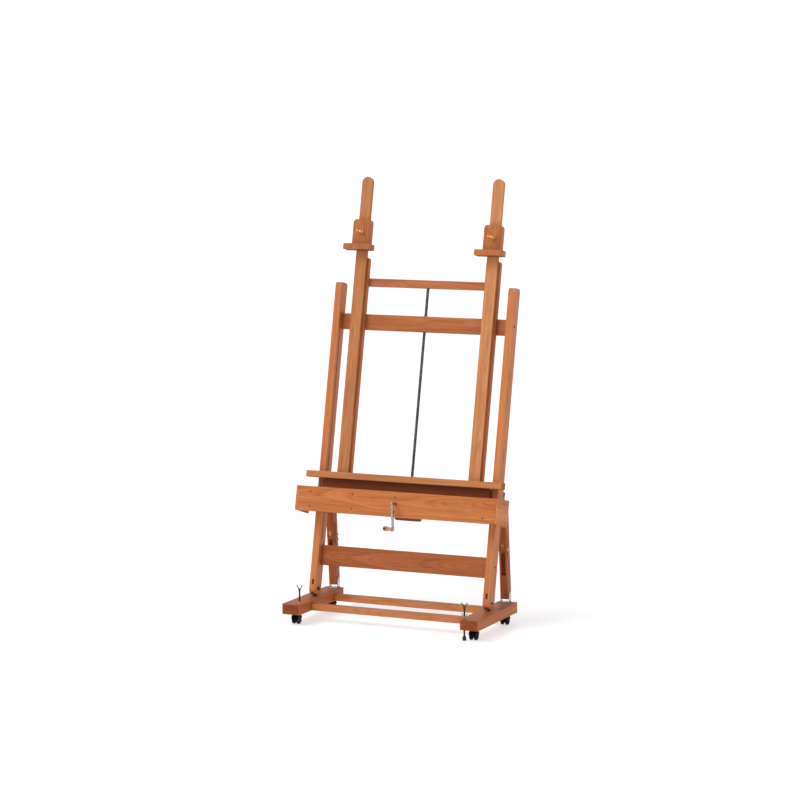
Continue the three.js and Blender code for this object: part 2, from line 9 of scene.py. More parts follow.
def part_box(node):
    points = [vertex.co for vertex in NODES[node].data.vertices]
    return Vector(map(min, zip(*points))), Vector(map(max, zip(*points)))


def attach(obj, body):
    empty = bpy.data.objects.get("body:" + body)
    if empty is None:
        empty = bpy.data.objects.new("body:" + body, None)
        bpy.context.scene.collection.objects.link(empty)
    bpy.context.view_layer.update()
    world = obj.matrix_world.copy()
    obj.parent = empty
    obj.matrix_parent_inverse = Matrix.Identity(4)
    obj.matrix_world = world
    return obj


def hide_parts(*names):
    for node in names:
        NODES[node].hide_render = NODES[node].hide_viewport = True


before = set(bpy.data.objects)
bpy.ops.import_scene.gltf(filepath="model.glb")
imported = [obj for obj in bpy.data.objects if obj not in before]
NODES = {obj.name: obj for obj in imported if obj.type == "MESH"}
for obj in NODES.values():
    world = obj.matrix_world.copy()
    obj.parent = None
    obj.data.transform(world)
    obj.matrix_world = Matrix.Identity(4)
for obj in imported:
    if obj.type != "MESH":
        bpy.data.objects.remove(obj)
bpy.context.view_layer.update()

MM = 0.001
SIDES = (("left", -1), ("right", 1))

# ------------------------------------------------------------------ frames
LEAN = math.radians(12)
FOOT_REAR = 208.0
SHIFT_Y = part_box("foot_left")[1].y / MM - FOOT_REAR  # the CAD centres its whole box on y = 0
POST_MIDDLE = 357.75
STRUT_FOOT = (188.0, 115.0)  # y, z of the strut's pin in the base frame
STRUT_TOP = (68.35, 442.0)  # depth, height of the tongue's pivot in the leaning frame
TONGUE_MIDDLE = -7.25
LEAN_Y, LEAN_Z = -16.4, 82.2  # origin of the leaning frame in the base frame
MAST_X = 271.0  # from the middle to each mast
ROD_DEPTH = 39.3  # the lifting screw's axis, in the leaning frame


def placed(x, y, z):
    return Matrix.Translation(Vector((x, y, z)) * MM)


def turned(degrees, axis):
    return Matrix.Rotation(math.radians(degrees), 4, axis)


BASE = placed(0, SHIFT_Y, 0)
LEANING = placed(0, LEAN_Y + SHIFT_Y, LEAN_Z) @ Matrix.Rotation(-LEAN, 4, "X")


def strut_frame(side):
    top_y = LEAN_Y + STRUT_TOP[0] * math.cos(LEAN) + STRUT_TOP[1] * math.sin(LEAN)
    top_z = LEAN_Z - STRUT_TOP[0] * math.sin(LEAN) + STRUT_TOP[1] * math.cos(LEAN)
    back, up = STRUT_FOOT[0] - top_y, top_z - STRUT_FOOT[1]
    tilt = math.atan2(back, up) + math.asin(TONGUE_MIDDLE / math.hypot(back, up))
    return BASE @ placed(side * POST_MIDDLE, *STRUT_FOOT) @ Matrix.Rotation(tilt, 4, "X")


def unit(matrix, axis):
    return matrix.to_3x3() @ Vector(axis)


GRAIN_X = Vector((1, 0, 0))
GRAIN_UP = unit(LEANING, (0, 0, 1))
DEPTH = unit(LEANING, (0, 1, 0))


# ------------------------------------------------------------------ materials
class Tree:
    """A node material being wired up."""

    def __init__(self, name):
        self.material = bpy.data.materials.new(name)
        self.material.use_nodes = True
        self.nodes = self.material.node_tree.nodes
        self.links = self.material.node_tree.links
        self.nodes.clear()
        output = self.nodes.new("ShaderNodeOutputMaterial")
        self.shader = self.nodes.new("ShaderNodeBsdfPrincipled")
        self.links.new(self.shader.outputs[0], output.inputs["Surface"])
        self.where = self.nodes.new("ShaderNodeTexCoord")

    def node(self, kind, inputs=(), **settings):
        made = self.nodes.new(kind)
        for key, value in settings.items():
            setattr(made, key, value)
        for key, value in dict(inputs).items():
            if isinstance(value, bpy.types.NodeSocket):
                self.links.new(value, made.inputs[key])
            else:
                made.inputs[key].default_value = value
        return made

    def math(self, operation, a, b=0.0, c=0.0, clamp=False):
        return self.node("ShaderNodeMath", {0: a, 1: b, 2: c}, operation=operation, use_clamp=clamp).outputs[0]

    def vector(self, operation, a, b=(0, 0, 0)):
        made = self.node("ShaderNodeVectorMath", {0: a, 1: b}, operation=operation)
        return made.outputs["Value"] if operation in ("LENGTH", "DOT_PRODUCT") else made.outputs[0]

    def noise(self, place, scale=1.0, detail=2.0, rough=0.5, output=0):
        inputs = {"Vector": place, "Scale": scale, "Detail": detail, "Roughness": rough}
        return self.node("ShaderNodeTexNoise", inputs).outputs[output]

    def stretched(self, place, x, y, z):
        return self.vector("MULTIPLY", place, (x, y, z))

    def ramp(self, factor, *stops):
        made = self.node("ShaderNodeValToRGB", {0: factor})
        band = made.color_ramp
        while len(band.elements) < len(stops):
            band.elements.new(1.0)
        for element, (position, colour) in zip(band.elements, stops):
            element.position = position
            element.color = (*colour, 1)
        return made.outputs[0]

    def step(self, value, start, end, low=0.0, high=1.0):
        inputs = {"Value": value, "From Min": start, "From Max": end, "To Min": low, "To Max": high}
        return self.node("ShaderNodeMapRange", inputs, interpolation_type="SMOOTHSTEP").outputs[0]

    def mix(self, factor, a, b, blend="MIX"):
        made = self.node("ShaderNodeMix", {0: factor}, data_type="RGBA", blend_type=blend)
        for index, value in ((6, a), (7, b)):
            if isinstance(value, bpy.types.NodeSocket):
                self.links.new(value, made.inputs[index])
            else:
                made.inputs[index].default_value = (*value, 1)
        return made.outputs[2]

    def bump(self, height, strength, distance):
        inputs = {"Height": height, "Strength": strength, "Distance": distance}
        return self.node("ShaderNodeBump", inputs).outputs[0]

    def finish(self, colour, roughness, normal=None, **fixed):
        self.links.new(colour, self.shader.inputs["Base Color"])
        self.links.new(roughness, self.shader.inputs["Roughness"])
        if normal is not None:
            self.links.new(normal, self.shader.inputs["Normal"])
        for key, value in fixed.items():
            self.shader.inputs[key.replace("_", " ")].default_value = value
        return self.material


HONEY = (0.53, 0.200, 0.078)
AMBER = (0.43, 0.145, 0.050)
RUSSET = (0.345, 0.102, 0.031)
UMBER = (0.21, 0.052, 0.015)


def beech(
    name, grain, face, centre, seed,
    tint=(1, 1, 1), pith=(0.02, 0.075), taper=(0.01, 0.045), figure=1.0, ends=1.0,
):
    """Flat-sawn oiled beech. grain is the board's long direction, face the normal of its wide side.

    pith is how far the tree's centre lies to the side of the board and behind it, and taper how fast
    it drifts along the board, both in metres; ends is how much darker the end grain is.
    """
    rng = random.Random(seed)
    t = Tree(name)
    along = Vector(grain).normalized()
    through = (Vector(face) - along * Vector(face).dot(along)).normalized()
    turn = Matrix((through.cross(along), through, along))
    start = -(turn @ Vector(centre)) + Vector((0, 0, rng.uniform(-3, 3)))
    place = t.node(
        "ShaderNodeMapping",
        {"Vector": t.where.outputs["Object"], "Location": start, "Rotation": turn.to_euler("XYZ")},
        vector_type="POINT",
    ).outputs[0]
    # growth rings round a wandering pith that lies behind the board, a little out of line with it
    wander = t.noise(t.stretched(place, 7, 7, 1.6), 1.0, 2.0, 0.5, 1)
    wander = t.vector("MULTIPLY", t.vector("SUBTRACT", wander, (0.5, 0.5, 0.5)), (0.05, 0.05, 0))
    parts = t.node("ShaderNodeSeparateXYZ", {0: place})
    length = t.math("SUBTRACT", parts.outputs[2], start[2] + (turn @ Vector(centre))[2])
    side_sign = rng.choice((-1, 1))
    aside = t.math("MULTIPLY_ADD", length, taper[0] * side_sign, pith[0] * rng.uniform(-1, 1))
    across = t.math("ADD", parts.outputs[0], aside)
    behind = t.math("MULTIPLY_ADD", length, taper[1] * rng.choice((-1, 1)), pith[1] * rng.uniform(0.8, 1.25))
    deep = t.math("ADD", parts.outputs[1], behind)
    flat = t.node("ShaderNodeCombineXYZ", {0: across, 1: deep, 2: 0.0}).outputs[0]
    radius = t.vector("LENGTH", t.vector("ADD", flat, wander))
    bands = t.node(
        "ShaderNodeTexNoise",
        {"W": t.math("MULTIPLY", radius, 62.0), "Scale": 1.0, "Detail": 3.0, "Roughness": 0.62},
        noise_dimensions="1D",
    ).outputs[0]
    year = t.math("FRACT", t.math("MULTIPLY", radius, 290.0))
    late = t.math("MULTIPLY", t.step(year, 0.45, 0.9), t.step(year, 1.0, 0.93))
    # streaks, fibres, the short dark ray flecks of beech, broad drifts of colour and narrow ribbons
    streak = t.noise(t.stretched(place, 48, 48, 1.4), 1.0, 3.0, 0.6)
    fibre = t.noise(t.stretched(place, 1300, 1300, 34), 1.0, 3.0, 0.65)
    fleck = t.step(t.noise(t.stretched(place, 1100, 620, 190), 1.0, 1.0, 0.5), 0.64, 0.74)
    drift = t.noise(t.stretched(place, 9, 9, 3.2), 1.0, 1.0, 0.5)
    ribbon = t.noise(t.stretched(place, 210, 210, 7.5), 1.0, 3.0, 0.62)
    shade = t.math("MULTIPLY_ADD", t.math("SUBTRACT", bands, 0.5), 1.15 * figure, 0.40)
    shade = t.math("MULTIPLY_ADD", t.math("SUBTRACT", streak, 0.5), 0.75, shade)
    shade = t.math("MULTIPLY_ADD", t.math("SUBTRACT", ribbon, 0.5), 0.95, shade)
    shade = t.math("MULTIPLY_ADD", t.math("SUBTRACT", drift, 0.5), 0.45, shade)
    shade = t.math("MULTIPLY_ADD", t.math("SUBTRACT", fibre, 0.5), 0.30, shade)
    shade = t.math("MULTIPLY_ADD", late, 0.16 * figure, shade, clamp=True)
    colour = t.ramp(shade, (0.0, HONEY), (0.4, AMBER), (0.72, RUSSET), (1.0, UMBER))
    colour = t.mix(t.math("MULTIPLY", fleck, 0.34), colour, UMBER)
    pink = t.step(t.noise(t.stretched(place, 14, 14, 1.1), 1.0, 1.0, 0.5), 0.42, 0.66)
    colour = t.mix(t.math("MULTIPLY", pink, 0.22), colour, (0.45, 0.14, 0.065))
    colour = t.mix(1.0, colour, tint, "MULTIPLY")
    # end grain drinks more oil
    facing = t.vector("DOT_PRODUCT", t.where.outputs["Normal"], tuple(along))
    end = t.step(t.math("ABSOLUTE", facing), 0.72, 0.93, 0.0, ends)
    pores = t.noise(t.stretched(place, 1500, 1500, 300), 1.0, 2.0, 0.6)
    oiled = t.ramp(pores, (0.3, (0.40, 0.33, 0.28)), (0.7, (0.66, 0.56, 0.50)))
    dark_end = t.mix(1.0, colour, oiled, "MULTIPLY")
    colour = t.mix(end, colour, dark_end)
    rough = t.math("MULTIPLY_ADD", drift, 0.12, 0.31)
    rough = t.math("MULTIPLY_ADD", end, 0.14, rough)
    rough = t.math("MULTIPLY_ADD", fibre, 0.16, rough)
    height = t.math("SUBTRACT", t.math("MULTIPLY_ADD", late, 0.35, fibre), t.math("MULTIPLY", fleck, 0.6))
    normal = t.bump(height, 0.32, 0.00025)
    return t.finish(colour, rough, normal, IOR=1.46, Specular_IOR_Level=0.22)


def metal(name, light, dark, rough, scale=90.0, grime=(0.2, 0.16, 0.11), grime_amount=0.35):
    t = Tree(name)
    place = t.where.outputs["Object"]
    cloud = t.noise(place, scale, 4.0, 0.6)
    fine = t.noise(place, 900.0, 3.0, 0.6)
    colour = t.ramp(cloud, (0.3, dark), (0.68, light))
    dirt = t.step(t.noise(place, scale * 0.6, 3.0, 0.65), 0.56, 0.74, 0.0, grime_amount)
    colour = t.mix(dirt, colour, grime)
    value = t.math("MULTIPLY_ADD", dirt, 0.5, rough - 0.14)
    value = t.math("MULTIPLY_ADD", fine, 0.14, value)
    value = t.math("MULTIPLY_ADD", cloud, 0.16, value)
    relief = t.bump(t.math("MULTIPLY_ADD", cloud, 0.5, fine), 0.18, 0.0001)
    return t.finish(colour, value, relief, Metallic=1.0)


def moulded(name, light, dark, rough, grain=2600.0, dust=0.1, **fixed):
    t = Tree(name)
    place = t.where.outputs["Object"]
    cloud = t.noise(place, 70.0, 4.0, 0.6)
    fine = t.noise(place, grain, 2.0, 0.6)
    colour = t.ramp(cloud, (0.3, dark), (0.7, light))
    scuff = t.step(t.noise(t.stretched(place, 260, 260, 900), 1.0, 3.0, 0.7), 0.60, 0.74, 0.0, dust)
    colour = t.mix(scuff, colour, (0.22, 0.21, 0.20))
    value = t.math("MULTIPLY_ADD", cloud, 0.12, t.math("MULTIPLY_ADD", scuff, 1.2, rough - 0.06))
    return t.finish(colour, value, t.bump(fine, 0.12, 0.0001), **fixed)


def spindle_wood(name, seed):
    """A small turned handle: grain along its axis, with the lathe's faint rings."""
    t = Tree(name)
    place = t.where.outputs["Object"]
    offset = t.vector("ADD", place, (0.013 * seed, 0.02, 0.4 * seed))
    streak = t.noise(t.stretched(offset, 240, 240, 26), 1.0, 4.0, 0.6)
    fibre = t.noise(t.stretched(offset, 1500, 1500, 60), 1.0, 2.0, 0.6)
    parts = t.node("ShaderNodeSeparateXYZ", {0: place})
    rings = t.math("SINE", t.math("MULTIPLY", parts.outputs[2], 5200.0))
    shade = t.math("MULTIPLY_ADD", fibre, 0.3, t.math("SUBTRACT", streak, 0.12))
    colour = t.ramp(shade, (0.2, (0.60, 0.34, 0.21)), (0.55, (0.47, 0.25, 0.15)), (0.85, (0.30, 0.14, 0.08)))
    rough = t.math("MULTIPLY_ADD", fibre, 0.12, 0.27)
    relief = t.bump(t.math("MULTIPLY_ADD", rings, 0.25, fibre), 0.25, 0.00015)
    return t.finish(colour, rough, relief, Coat_Weight=0.25, Coat_Roughness=0.25)


BRASS = metal("brass", (0.90, 0.50, 0.19), (0.62, 0.30, 0.09), 0.34)
BLACKENED = metal("blackened_steel", (0.10, 0.088, 0.075), (0.035, 0.03, 0.026), 0.42, scale=110.0)
CRANK_STEEL = metal("crank_steel", (0.50, 0.43, 0.36), (0.24, 0.20, 0.17), 0.36, scale=120.0)
BRONZED = metal(
    "bronzed_brass", (0.55, 0.37, 0.17), (0.30, 0.18, 0.08), 0.36,
    grime=(0.09, 0.06, 0.04), grime_amount=0.55,
)
ZINC = metal("zinc_steel", (0.66, 0.66, 0.64), (0.42, 0.43, 0.44), 0.33, scale=130.0)
DARK_ZINC = metal("dull_steel", (0.34, 0.31, 0.27), (0.16, 0.15, 0.13), 0.38, scale=110.0)
THREAD = metal(
    "threaded_steel", (0.11, 0.10, 0.10), (0.04, 0.038, 0.036), 0.38,
    scale=60.0, grime=(0.05, 0.04, 0.035), grime_amount=0.5,
)
CASTOR = moulded("castor_plastic", (0.003, 0.003, 0.003), (0.0015, 0.0015, 0.0015), 0.46, Specular_IOR_Level=0.07)
KNOB = moulded("knob_plastic", (0.020, 0.020, 0.021), (0.011, 0.011, 0.012), 0.36)
RUBBER = moulded("rubber", (0.012, 0.012, 0.012), (0.007, 0.007, 0.007), 0.66, grain=1500.0, dust=0.15)
SPINDLE = spindle_wood("turned_grip_wood", 3)
PLUG_WOOD = beech("plug_end_grain", DEPTH, GRAIN_X, (0, 0, 0), 91, tint=(0.66, 0.56, 0.50), ends=0.35)


# ------------------------------------------------------------------ mesh building
def vertex(bm, at, x, y, z):
    return bm.verts.new(at @ (Vector((x, y, z)) * MM))


def arc(radius, angles, centre=(0, 0)):
    """Points on a circle at the given angles, in degrees."""
    turns = [math.radians(angle) for angle in angles]
    return [(centre[0] + radius * math.cos(a), centre[1] + radius * math.sin(a)) for a in turns]


def ring_faces(bm, rows):
    """Skins quads between rows of vertices; each row is a loop."""
    for lower, upper in zip(rows, rows[1:]):
        for i in range(len(lower)):
            j = (i + 1) % len(lower)
            bm.faces.new((lower[i], lower[j], upper[j], upper[i]))


def add_lathe(bm, profile, sides=48, at=Matrix.Identity(4), wave=None):
    """Turns (radius, height) points about Z. The profile starts and ends on the axis, or is a closed ring."""
    rows, poles = [], []
    for radius, height in profile:
        if radius < 1e-6:
            poles.append((len(rows), vertex(bm, at, 0, 0, height)))
            continue
        row = []
        for i in range(sides):
            a = 2 * math.pi * i / sides
            r = radius * (wave(a, radius) if wave else 1.0)
            row.append(vertex(bm, at, r * math.cos(a), r * math.sin(a), height))
        rows.append(row)
    ring_faces(bm, rows)
    if poles:
        for index, pole in poles:
            row = rows[0] if index == 0 else rows[-1]
            for i in range(sides):
                j = (i + 1) % sides
                bm.faces.new((pole, row[j], row[i]) if index == 0 else (pole, row[i], row[j]))
    else:
        ring_faces(bm, [rows[-1], rows[0]])


def add_prism(bm, outline, low, high, at=Matrix.Identity(4), edge=0.0, segments=2):
    """An outline in XY, in millimetres, raised from low to high, with its rim rounded by edge."""
    bottom = [vertex(bm, at, u, v, low) for u, v in outline]
    top = [vertex(bm, at, u, v, high) for u, v in outline]
    ring_faces(bm, [bottom, top])
    caps = [bm.faces.new(bottom[::-1]), bm.faces.new(top)]
    if edge:
        rim = [e for cap in caps for e in cap.edges]
        bmesh.ops.bevel(
            bm, geom=rim, offset=edge * MM, segments=segments,
            affect="EDGES", profile=0.5, clamp_overlap=True,
        )


def rounded_box(u, v, radius, steps=6):
    """Outline of a rectangle with rounded corners; u and v are (low, high)."""
    left, right = u[0] + radius, u[1] - radius
    low, high = v[0] + radius, v[1] - radius
    points = []
    for centre, start in (((right, low), -90), ((right, high), 0), ((left, high), 90), ((left, low), 180)):
        points += arc(radius, [start + 90 * i / steps for i in range(steps + 1)], centre)
    return points


def smooth_closed(points, steps=5):
    """A Catmull-Rom curve through a closed list of points."""
    out, count = [], len(points)
    for i in range(count):
        p0, p1, p2, p3 = (Vector(points[(i + k) % count]) for k in (-1, 0, 1, 2))
        for k in range(steps):
            s = k / steps
            square = (2 * p0 - 5 * p1 + 4 * p2 - p3) * s * s
            cube = (3 * p1 - p0 - 3 * p2 + p3) * s ** 3
            out.append(tuple(0.5 * (2 * p1 + (p2 - p0) * s + square + cube)))
    return out


def mirrored(half, span, height):
    """A smooth closed outline from its right half, given as shares of span and height."""
    right = [(u * span, v * height) for u, v in half]
    left = [(-u, v) for u, v in reversed(right)]
    return smooth_closed(right + left, 4)


STAND = turned(90, "X")  # takes an XY outline to the XZ plane
EAR_HALF = [
    (0.30, 0.02), (0.58, 0.20), (0.82, 0.46), (0.98, 0.76), (0.93, 0.97),
    (0.74, 1.0), (0.58, 0.84), (0.44, 0.62), (0.24, 0.50),
]
EAR_TIP = [(0, -1.35), (0.13, -1.2), (0.19, -0.6), (0.20, 0), (0.19, 0.6), (0.13, 1.2), (0, 1.35)]
FORK_HALF = [(0.10, 0.0), (0.36, 0.22), (0.66, 0.56), (0.90, 0.86), (0.80, 0.92), (0.52, 0.66), (0.24, 0.40)]
FORK_BALL = [(0, -2.6), (1.3, -2.3), (2.3, -1.3), (2.6, 0), (2.3, 1.3), (1.3, 2.3), (0, 2.6)]


def add_ears(bm, base, span, height, thick, at=Matrix.Identity(4)):
    """The two spread wings of a thumb screw about Z, in the XZ plane, with round thickened tips."""
    stand = at @ placed(0, thick / 2, base) @ STAND
    add_prism(bm, mirrored(EAR_HALF, span, height), 0, thick, stand, edge=thick * 0.36, segments=3)
    profile = [(span * u, thick * 0.5 * v) for u, v in EAR_TIP]
    for sign in (-1, 1):
        add_lathe(bm, profile, 20, at @ placed(sign * span * 0.80, 0, base + height * 0.82) @ STAND)


def add_fork(bm, base, span, height, thick, at=Matrix.Identity(4)):
    """Two slim arms that spread from the Z axis, in the XZ plane, with a round knob on each."""
    stand = at @ placed(0, thick / 2, base) @ STAND
    add_prism(bm, mirrored(FORK_HALF, span, height), 0, thick, stand, edge=thick * 0.36, segments=3)
    for sign in (-1, 1):
        add_lathe(bm, FORK_BALL, 20, at @ placed(sign * span * 0.86, 0, base + height * 0.89))


def add_thread(bm, crest, root, low, high, pitch, at=Matrix.Identity(4), starts=1, around=24):
    """A screw thread about Z: vertex columns follow the helix, so the crests stay crisp."""
    count = max(2, int(round((high - low) / (pitch / 4))))
    shape = (crest, crest, (crest + root) / 2, root, root, (crest + root) / 2)
    rows = []
    for k in range(count + 1):
        z = low + (high - low) * k / count
        row = []
        for i in range(around):
            a = 2 * math.pi * i / around
            phase = (z / pitch - a * starts / (2 * math.pi)) % 1.0 * len(shape)
            first = int(phase) % len(shape)
            mixed = shape[first] + (shape[(first + 1) % len(shape)] - shape[first]) * (phase - int(phase))
            row.append(vertex(bm, at, mixed * math.cos(a), mixed * math.sin(a), z))
        rows.append(row)
    ring_faces(bm, rows)
    bm.faces.new(rows[0][::-1])
    bm.faces.new(rows[-1])


def add_screw_head(bm, radius, height, at, turn=0.0):
    """A pan head with a cross recess, standing on z = 0."""
    deep = height * 0.45
    slot = radius * 0.14
    rim, crown = radius * 0.96, radius * 0.72
    start = math.asin(slot / rim)
    add_lathe(bm, [(0, 0), (radius, 0), (radius, deep * 0.8), (radius * 0.97, deep), (0, deep)], 28, at)
    for quarter in range(4):
        spin = at @ turned(turn + 90 * quarter, "Z")
        low_arc, high_arc = [], []
        for i in range(6):
            a = start + (math.pi / 2 - 2 * start) * i / 5
            low_arc.append((rim * math.cos(a), rim * math.sin(a)))
            high_arc.append((crown * math.cos(a), crown * math.sin(a)))
        low_outline = [(slot, slot)] + low_arc
        high_outline = [(slot * 1.25, slot * 1.25)] + high_arc
        bottom = [vertex(bm, spin, u, v, deep) for u, v in low_outline]
        top = [vertex(bm, spin, u, v, height) for u, v in high_outline]
        ring_faces(bm, [bottom, top])
        bm.faces.new(top)
        bm.faces.new(bottom[::-1])


def add_bevel_gear(bm, at, radius=13.4, width=6.0, teeth=10, bore=4.2):
    """A bevel gear about Z with its large end at z = 0."""
    def tooth_ring(outer, inner, z):
        row = []
        for i in range(teeth):
            for share, r in ((0.0, inner), (0.16, inner), (0.30, outer), (0.54, outer), (0.68, inner), (0.84, inner)):
                a = 2 * math.pi * (i + share) / teeth
                row.append(vertex(bm, at, r * math.cos(a), r * math.sin(a), z))
        return row

    def ring(r, z):
        turns = [2 * math.pi * i / (6 * teeth) for i in range(6 * teeth)]
        return [vertex(bm, at, r * math.cos(a), r * math.sin(a), z) for a in turns]

    rows = [
        ring(bore, -2.5), ring(radius * 0.62, -2.5), ring(radius * 0.66, 0),
        tooth_ring(radius + 0.6, radius - 2.4, 0),
        tooth_ring(radius - width + 0.6, radius - width - 1.4, width),
        ring(bore, width),
    ]
    ring_faces(bm, rows + [rows[0]])


def make(name, bm, matrix, material, body, sharp=38.0):
    """Turns a bmesh into a piece that rides on a body."""
    bmesh.ops.recalc_face_normals(bm, faces=bm.faces)
    mesh = bpy.data.meshes.new(name)
    bm.to_mesh(mesh)
    bm.free()
    for polygon in mesh.polygons:
        polygon.use_smooth = True
    mesh.set_sharp_from_angle(angle=math.radians(sharp))
    mesh.materials.append(material)
    piece = bpy.data.objects.new(name, mesh)
    bpy.context.scene.collection.objects.link(piece)
    piece.matrix_world = matrix
    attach(piece, body)
    return piece


def soften(piece, width, segments=3, angle=30.0, weld=True):
    """Rounds a piece's arrises with modifiers; its own mesh stays as it is."""
    if weld:
        piece.modifiers.new("weld", "WELD").merge_threshold = 0.00001
    rounding = piece.modifiers.new("arris", "BEVEL")
    rounding.width = width * MM
    rounding.segments = segments
    rounding.limit_method = "ANGLE"
    rounding.angle_limit = math.radians(angle)
    rounding.miter_outer = "MITER_ARC"
    rounding.harden_normals = False
    shading = piece.modifiers.new("shading", "WEIGHTED_NORMAL")
    shading.keep_sharp = False
    shading.weight = 100


def middle_of(node):
    low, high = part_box(node)
    return (low + high) / 2


def dress(node, material, width, segments=3):
    """A CAD node keeps its mesh and gets a finish and rounded arrises."""
    piece = NODES[node]
    piece.data.materials.clear()
    piece.data.materials.append(material)
    soften(piece, width, segments)


# ------------------------------------------------------------------ timber
UP = Vector((0, 0, 1))
OUT_Y = Vector((0, 1, 0))
REDDER = (0.92, 0.80, 0.64)
PALER = (1.16, 1.13, 0.98)
DEEP = (0.80, 0.62, 0.42)
# a dark tint for parts tucked in behind others: painted shade
SHADE_TINT = (0.48, 0.28, 0.14)

TIMBER = [
    # node, grain, face, seed, tint, pith, taper, figure, arris
    ("foot_left", OUT_Y, UP, 11, (0.92, 0.74, 0.50), (0.02, 0.06), (0.01, 0.05), 1.0, 2.0),
    ("foot_right", OUT_Y, UP, 12, (0.94, 0.78, 0.60), (0.02, 0.06), (0.01, 0.05), 1.0, 2.0),
    ("stretcher_front", GRAIN_X, OUT_Y, 13, (1.06, 1.12, 1.12), (0.02, 0.05), (0.01, 0.03), 1.0, 1.2),
    ("stretcher_rear", GRAIN_X, OUT_Y, 14, (1.16, 1.28, 1.34), (0.02, 0.05), (0.01, 0.03), 1.0, 1.2),
    ("post_left", GRAIN_UP, GRAIN_X, 15, PALER, (0.03, 0.05), (0.004, 0.012), 1.0, 2.4),
    ("post_right", GRAIN_UP, GRAIN_X, 16, PALER, (0.03, 0.05), (0.004, 0.012), 1.0, 2.4),
    ("cross_rail_upper", GRAIN_X, DEPTH, 17, (0.90, 0.80, 0.70), (0.01, 0.07), (0.01, 0.03), 1.0, 1.2),
    ("cross_rail_lower", GRAIN_X, DEPTH, 18, (0.80, 0.66, 0.56), (0.01, 0.055), (0.01, 0.06), 1.25, 1.2),
    ("inner_upright_left", GRAIN_UP, DEPTH, 19, REDDER, (0.02, 0.05), (0.004, 0.02), 1.0, 1.6),
    ("inner_upright_right", GRAIN_UP, DEPTH, 20, REDDER, (0.02, 0.05), (0.004, 0.02), 1.0, 1.6),
    ("mast_left", GRAIN_UP, DEPTH, 21, (1.00, 1.08, 1.10), (0.02, 0.05), (0.004, 0.012), 1.0, 1.5),
    ("mast_right", GRAIN_UP, DEPTH, 22, (1.18, 1.40, 1.52), (0.02, 0.05), (0.004, 0.012), 1.0, 1.5),
    ("guide_block_left", GRAIN_UP, DEPTH, 23, SHADE_TINT, (0.02, 0.05), (0.01, 0.02), 1.0, 0.8),
    ("guide_block_right", GRAIN_UP, DEPTH, 24, SHADE_TINT, (0.02, 0.05), (0.01, 0.02), 1.0, 0.8),
    ("top_bar", GRAIN_X, DEPTH, 25, (0.92, 0.82, 0.76), (0.02, 0.05), (0.01, 0.03), 1.0, 1.2),
    # the gear block's darker tint is painted shade
    ("gear_block", GRAIN_X, DEPTH, 26, (0.70, 0.54, 0.38), (0.02, 0.05), (0.01, 0.03), 1.0, 1.0),
    ("tray_front_panel", GRAIN_X, DEPTH, 27, (1.10, 1.02, 0.80), (0.02, 0.06), (0.012, 0.05), 1.15, 1.2),
    ("tray_side_left", DEPTH, GRAIN_X, 28, PALER, (0.02, 0.06), (0.01, 0.03), 1.0, 1.2),
    ("tray_side_right", DEPTH, GRAIN_X, 29, PALER, (0.02, 0.06), (0.01, 0.03), 1.0, 1.2),
    ("tray_bottom", GRAIN_X, GRAIN_UP, 30, REDDER, (0.02, 0.06), (0.01, 0.03), 1.0, 0.8),
    # the back board's dark tint is painted shade under the canvas ledge
    ("tray_back_board", GRAIN_X, DEPTH, 31, SHADE_TINT, (0.02, 0.06), (0.01, 0.03), 1.0, 0.8),
    ("canvas_ledge", GRAIN_X, GRAIN_UP, 32, (1.14, 1.24, 1.14), (0.02, 0.06), (0.01, 0.03), 1.0, 1.2),
    ("clamp_left", GRAIN_UP, DEPTH, 33, (0.88, 0.84, 0.70), (0.01, 0.05), (0.01, 0.06), 1.0, 1.6),
    ("clamp_right", GRAIN_UP, DEPTH, 34, (0.98, 0.92, 0.74), (0.01, 0.05), (0.01, 0.06), 1.0, 1.6),
]
for side_name, side in SIDES:
    grain = unit(strut_frame(side), (0, 0, 1))
    TIMBER.append((f"strut_lower_{side_name}", grain, GRAIN_X, 35 + side, DEEP, (0.02, 0.05), (0.006, 0.02), 1.0, 1.5))
    TIMBER.append((f"strut_upper_{side_name}", grain, GRAIN_X, 38 + side, DEEP, (0.02, 0.05), (0.006, 0.02), 1.0, 0.9))

for node, grain, face, seed, tint, pith, taper, figure, arris in TIMBER:
    ends = 0.0 if node.startswith("tray_side") else 1.0
    wood = beech(f"beech_{node}", grain, face, middle_of(node), seed, tint, pith, taper, figure, ends)
    dress(node, wood, arris)

for side_name, side in SIDES:
    dress(f"hinge_bracket_{side_name}", BLACKENED, 0.5, 2)

# ------------------------------------------------------------------ castors
CASTOR_X = 362.5
CASTOR_Y = (-122, 157)
CASTOR_TRAIL = 13.0
WHEEL_RADIUS = 17.05
WHEEL_HALF = [
    (0, 4.8), (13.4, 4.8), (15.6, 5.4), (16.8, 6.6), (WHEEL_RADIUS, 8.2), (WHEEL_RADIUS, 10.6),
    (16.8, 12.2), (15.8, 13.3), (14.4, 13.8), (13.4, 13.7), (12.8, 12.8), (12.0, 12.5),
    (6.4, 12.5), (5.9, 12.9), (5.4, 13.7), (4.2, 14.0), (0, 14.0),
]
HOOD_SECTION = [  # x, radius about the axle
    (-14, 17.9), (-14, 19.5), (-13.4, 20.6), (-12.0, 21.1), (-6.5, 21.3), (0, 21.35), (6.5, 21.3), (12.0, 21.1),
    (13.4, 20.6), (14, 19.5), (14, 17.9), (12.8, 18.0), (12.0, 18.7), (0, 18.9), (-12.0, 18.7), (-12.8, 18.0),
]
TO_YZ = Matrix(((0, 0, 1, 0), (1, 0, 0, 0), (0, 1, 0, 0), (0, 0, 0, 1)))  # outline XY to YZ, height to X


